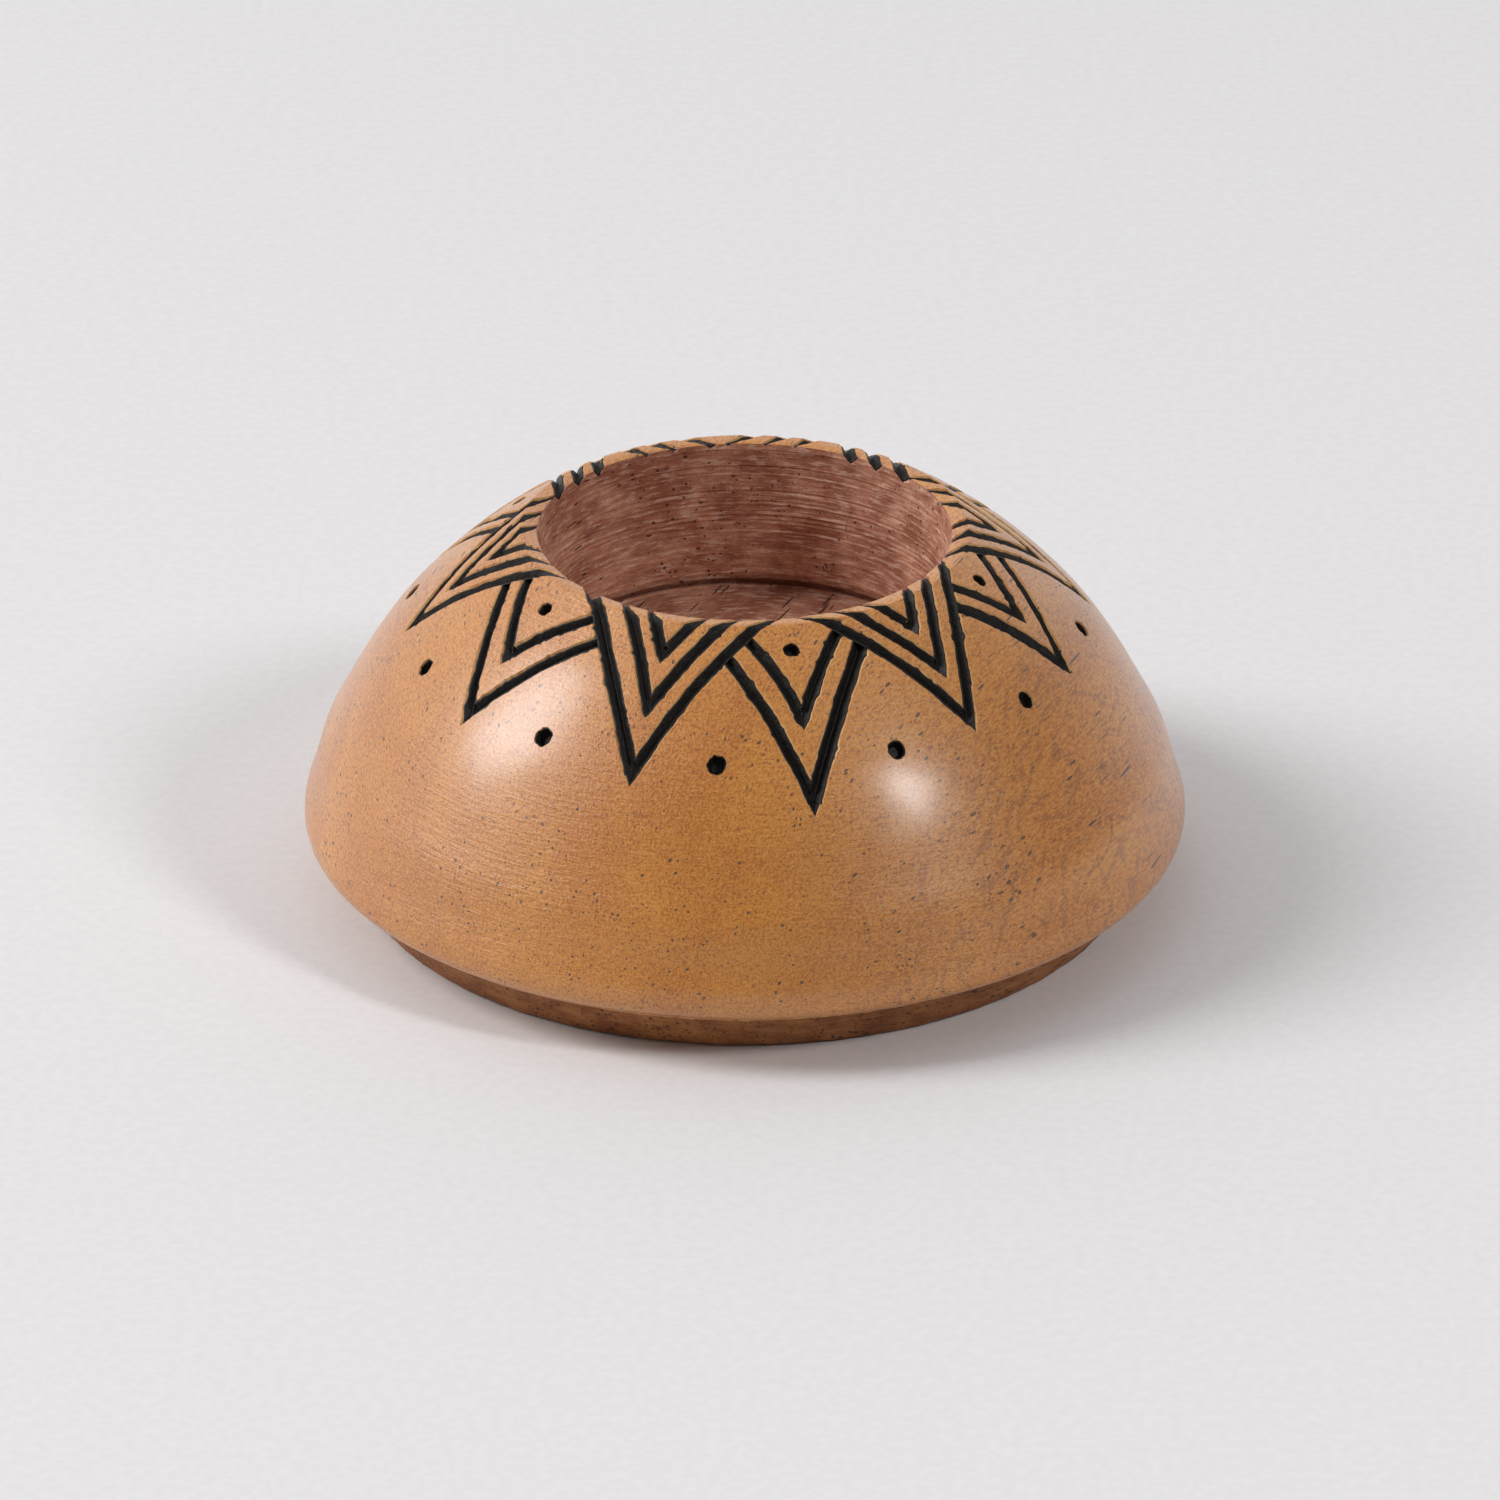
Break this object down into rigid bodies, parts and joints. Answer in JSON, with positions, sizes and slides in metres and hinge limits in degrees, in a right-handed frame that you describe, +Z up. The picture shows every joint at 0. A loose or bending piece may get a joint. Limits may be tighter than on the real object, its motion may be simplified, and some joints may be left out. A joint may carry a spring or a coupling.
{
  "type": "carved wooden candle bowl",
  "caption": "Squat domed bowl turned from one block of hardwood, with a shallow round well for a tea light and gouged, black-painted chevrons and dots round its shoulder.",
  "frame": {"origin": "on the table, at the middle of the flat underside", "axes": "+Z up along the axis of the turning; the front is -Y"},
  "size_m": [0.09, 0.09, 0.0382],
  "materials": {
    "wood": "waxed outside; bare on the foot band, the underside and in the well",
    "black_paint": "dried black paint, satin and a little granular"
  },
  "bodies": {
    "root": {"bowl_body": "wood", "paint_big_dot_1": "black_paint", "paint_big_dot_10": "black_paint", "paint_big_dot_11": "black_paint", "paint_big_dot_12": "black_paint", "paint_big_dot_2": "black_paint", "paint_big_dot_3": "black_paint", "paint_big_dot_4": "black_paint", "paint_big_dot_5": "black_paint", "paint_big_dot_6": "black_paint", "paint_big_dot_7": "black_paint", "paint_big_dot_8": "black_paint", "paint_big_dot_9": "black_paint", "paint_narrow_1_inner": "black_paint", "paint_narrow_1_outer": "black_paint", "paint_narrow_2_inner": "black_paint", "paint_narrow_2_outer": "black_paint", "paint_narrow_3_inner": "black_paint", "paint_narrow_3_outer": "black_paint", "paint_narrow_4_inner": "black_paint", "paint_narrow_4_outer": "black_paint", "paint_narrow_5_inner": "black_paint", "paint_narrow_5_outer": "black_paint", "paint_narrow_6_inner": "black_paint", "paint_narrow_6_outer": "black_paint", "paint_small_dot_1": "black_paint", "paint_small_dot_2": "black_paint", "paint_small_dot_3": "black_paint", "paint_small_dot_4": "black_paint", "paint_small_dot_5": "black_paint", "paint_small_dot_6": "black_paint", "paint_wide_1_inner": "black_paint", "paint_wide_1_middle": "black_paint", "paint_wide_1_outer": "black_paint", "paint_wide_2_inner": "black_paint", "paint_wide_2_middle": "black_paint", "paint_wide_2_outer": "black_paint", "paint_wide_3_inner": "black_paint", "paint_wide_3_middle": "black_paint", "paint_wide_3_outer": "black_paint", "paint_wide_4_inner": "black_paint", "paint_wide_4_middle": "black_paint", "paint_wide_4_outer": "black_paint", "paint_wide_5_inner": "black_paint", "paint_wide_5_middle": "black_paint", "paint_wide_5_outer": "black_paint", "paint_wide_6_inner": "black_paint", "paint_wide_6_middle": "black_paint", "paint_wide_6_outer": "black_paint"}
  },
  "joints": []
}
